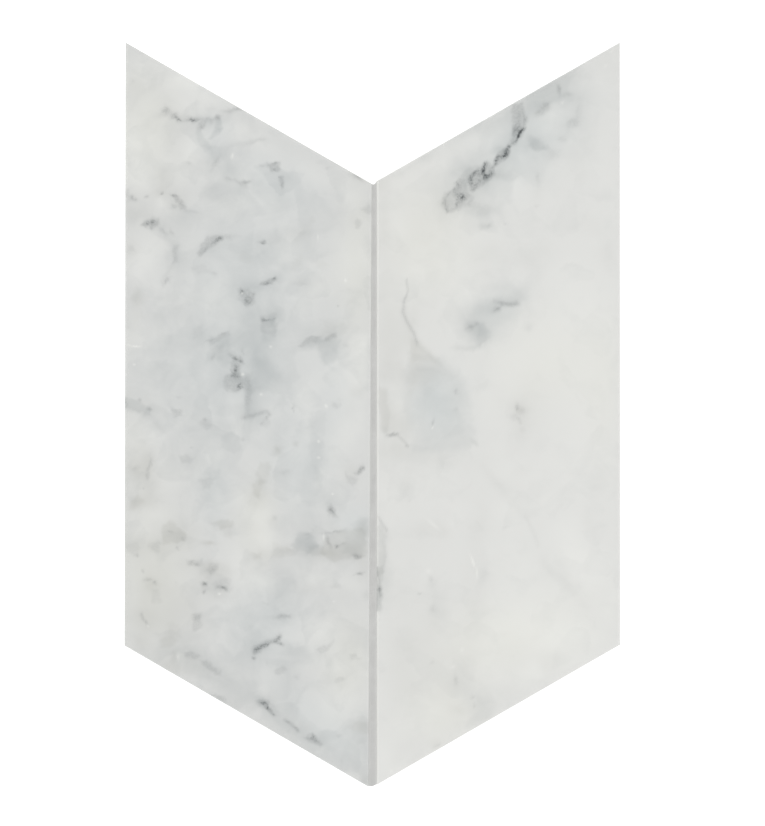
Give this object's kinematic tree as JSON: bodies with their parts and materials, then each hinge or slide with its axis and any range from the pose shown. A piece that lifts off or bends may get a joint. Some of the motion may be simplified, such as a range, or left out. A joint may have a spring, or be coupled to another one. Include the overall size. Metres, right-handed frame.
{
  "type": "chevron wall tile",
  "caption": "Chevron wall tile of mitred, polished white marble slabs with eased edges, mirrored about a hollow-tooled grout joint, bonded to a wall by its flat sawn back.",
  "frame": {"origin": "on the sawn back, in the middle of the chevron's outline, where it rests on a level floor", "axes": "+Z out of the polished face, +Y along the joint from the tip to the notch, +X across the joint"},
  "size_m": [0.203, 0.305, 0.01],
  "materials": {
    "left_marble": "polished",
    "right_marble": "polished",
    "grout": "matte"
  },
  "bodies": {
    "root": {"left_tile": "left_marble", "right_tile": "right_marble", "grout_joint": "grout"}
  },
  "joints": []
}
